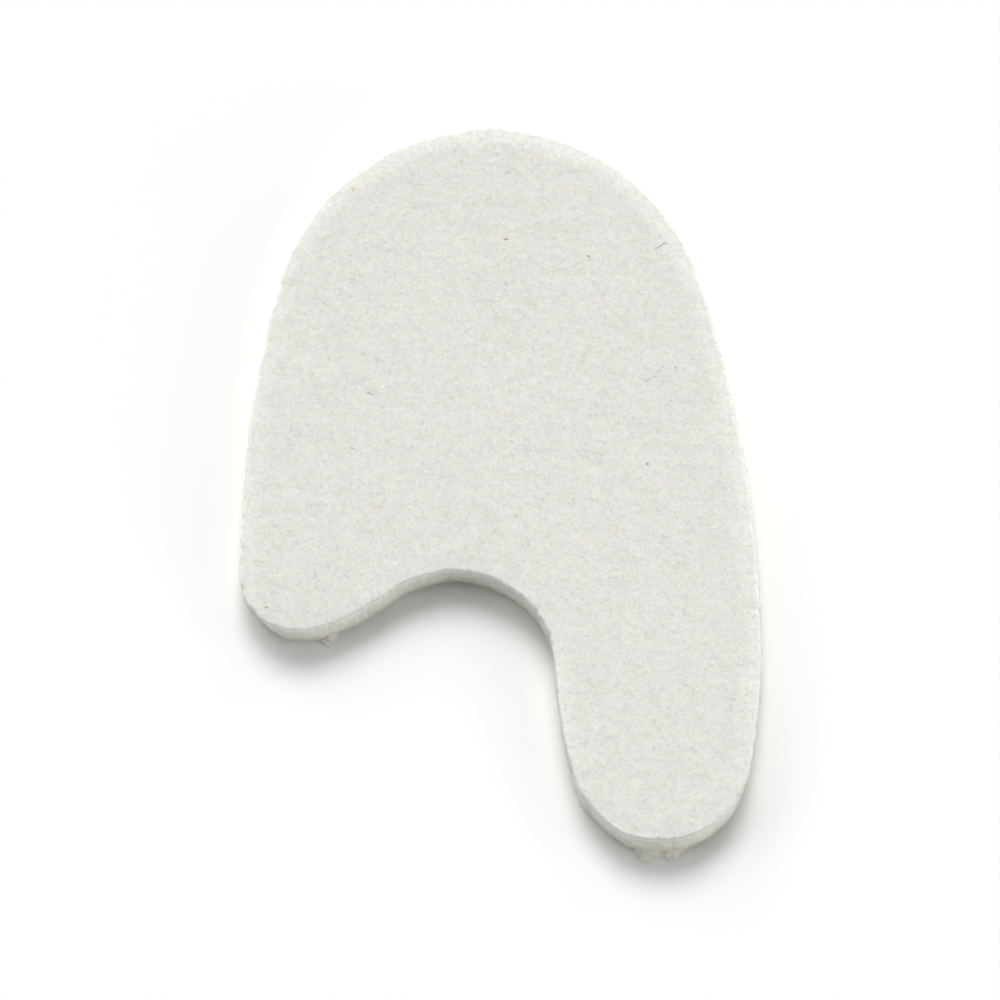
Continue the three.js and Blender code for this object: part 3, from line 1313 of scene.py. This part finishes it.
@dataclass
class TornFlaps:
    """Flaps that sweep from the foot of the wall to the floor.

    They start inside the wall, are highest midway between their ends and end at a ragged
    edge. Dents roughen them, and their lower side stays clear of the floor.
    """

    outline: PadOutline
    hand_cut: HandCut
    material: Material
    step: float = 0.1
    thickness: float = 0.14
    edge_height: float = 0.1
    columns: int = 60
    rows: int = 16
    rooted: float = 0.4
    lowest: float = 0.15
    fullness: float = 0.6
    ends: tuple[float, float] = (0.02, 0.98)
    steepness: float = 1.7
    clearance: float = 0.01
    ragged: tuple[Layer, ...] = (Layer(0.07, 0.4),)
    dents: tuple[Layer, ...] = (Layer(0.07, 0.6),)
    streak_width: float = 0.35
    seed: int = 41
    tears: tuple[Tear, ...] = (
        Tear("leg_flap", 1.1, ((662, 851.6), (670, 851.2)), (
            (630, 849), (634, 852), (637.5, 856), (641, 860.5), (644, 863.5), (647, 863),
            (650.5, 860.5), (654, 858.5), (658, 857), (661.3, 856.2), (665, 857), (669, 859.5),
            (672, 861.2), (674, 861.8), (676.5, 859.5), (679.5, 855.5), (683, 852), (687, 849))),
        Tear("lobe_flap", 0.45, ((320, 639), (323, 639.5)), (
            (315, 638.5), (319, 641), (323, 644), (326.5, 646.8), (330, 647), (333, 644),
            (336, 640.5), (339, 637))),
    )

    def build(self) -> list[Object]:
        """Makes the torn flaps.

        Returns:
            One closed sheet for each tear.
        """
        places, normals = self.outline.line(self.step)
        places = places + normals * self.hand_cut.drift(places, 0.0)[:, None]
        finder = EdgeFinder(places, normals)
        relief = Relief(self.seed)
        share = np.linspace(0, 1, self.columns)
        down = np.linspace(0, 1, self.rows)[:, None, None]
        made = []
        for tear in self.tears:
            edge = self.hand_cut.view.pad_line(tear.pixels, self.edge_height, self.columns)
            level = np.column_stack([edge, np.zeros(self.columns)])
            edge += np.column_stack([relief.layered(level + shift, self.ragged) for shift in (0, 3)])
            first, last = finder.nearest(edge[0]), finder.nearest(edge[-1])
            picked = np.round(first + (last - first) * share).astype(int)
            inner = places[picked] - normals[picked] * self.rooted
            high = tear.rise * np.sin(np.pi * np.clip(share, *self.ends)) ** self.fullness
            height = self.lowest + high * (1 - down[..., 0]) ** self.steepness
            top = np.concatenate([inner + (edge - inner) * down, height[..., None]], axis=2)
            dents = relief.layered(top.reshape(-1, 3), self.dents).reshape(height.shape)
            top[..., 2] += dents * np.sin(np.pi * down[..., 0]) ** 0.5
            under = top.copy()
            under[..., 2] = np.maximum(top[..., 2] - self.thickness, self.clearance)
            made.append(self.sheet(tear.name, top, under, self.streak_share(tear, top)))
        return made

    def streak_share(self, tear: Tear, top: Array) -> Array:
        """Gives how thick the adhesive is at each point of a flap.

        Args:
            tear: the flap, with the pixels of its streak.
            top: the points of its upper side.

        Returns:
            1 on the streak, falling to 0 beside it.
        """
        shares = []
        for point in top.reshape(-1, 3):
            start, end = self.hand_cut.view.pad_line(tear.streak, point[2], 2)
            along = np.clip((point[:2] - start) @ (end - start) / np.sum((end - start) ** 2), 0, 1)
            away = np.linalg.norm(point[:2] - start - (end - start) * along)
            shares.append(max(0.0, 1 - away / self.streak_width))
        return np.array(shares)

    def sheet(self, name: str, top: Array, under: Array,
              thick: Array) -> Object:
        """Closes two grids of points into one thin piece.

        Args:
            name: the piece's name.
            top: the points of the upper side, by rows from the wall outwards.
            under: the points of the lower side.
            thick: the share of thick adhesive at each point of the upper side.

        Returns:
            The piece.
        """
        below = top.shape[0] * top.shape[1]
        grid = np.arange(below).reshape(top.shape[:2])
        upper = split_quads(grid[:-1, :-1], grid[1:, :-1], grid[1:, 1:], grid[:-1, 1:])
        rim = np.concatenate([grid[:, 0], grid[-1, 1:], grid[-2::-1, -1], grid[0, -2:0:-1]])
        after = np.roll(rim, -1)
        sides = split_quads(rim, rim + below, after + below, after)
        points = np.concatenate([top.reshape(-1, 3), under.reshape(-1, 3)])
        faces = np.concatenate([upper, upper[:, ::-1] + below, sides])
        return make_piece(name, points, faces, self.material, {Mark.THICK: np.tile(thick, 2)})


def report(piece: Object) -> None:
    """Logs a piece's name and the number of its faces."""
    log.info("%s: %d faces", piece.name, len(piece.data.polygons))


def main() -> None:
    """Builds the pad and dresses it."""
    logging.basicConfig(level=logging.INFO, format="%(name)s: %(message)s")
    felt_low, felt_high = (np.array(corner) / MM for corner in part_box(FELT_NODE))
    film_low, film_high = (np.array(corner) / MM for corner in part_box(FILM_NODE))
    width, length, _ = (felt_high - felt_low).tolist()
    middle = ((felt_low + felt_high) / 2)[:2]
    outline = PadOutline(length, width, middle)
    view = PhotoView(middle)
    view.camera()
    Studio().build()

    hand_cut = HandCut(view, top=float(felt_high[2]))
    felt_pad = FeltPad(outline, hand_cut, bottom=float(felt_low[2]), top=float(felt_high[2]))
    felt = felt_pad.build()
    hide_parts(FELT_NODE)
    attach(felt, "root")
    report(felt)

    fibre_finish = StapleFibre().material()
    for coat, part in (
        (FibreCoat("nap_fibres", 8000, 0.45, 2.0, 3, fibre_finish), "face"),
        (FibreCoat("edge_fuzz", 3600, 0.5, 12.0, 5, fibre_finish, 0.022), "wall"),
    ):
        fibres = coat.build(*felt_pad.carriers[part])
        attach(fibres, "root")
        report(fibres)

    for stray in StrayBits(felt_pad).build():
        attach(stray, "root")
        report(stray)

    cream = AdhesiveCream().material()
    for flap in TornFlaps(outline, hand_cut, cream).build():
        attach(flap, "root")
        report(flap)

    film_thickness = float(film_high[2] - film_low[2])
    film = AdhesiveFilm(outline, hand_cut, cream, film_thickness).build()
    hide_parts(FILM_NODE)
    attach(film, "root")
    report(film)


if __name__ == "__main__":
    main()
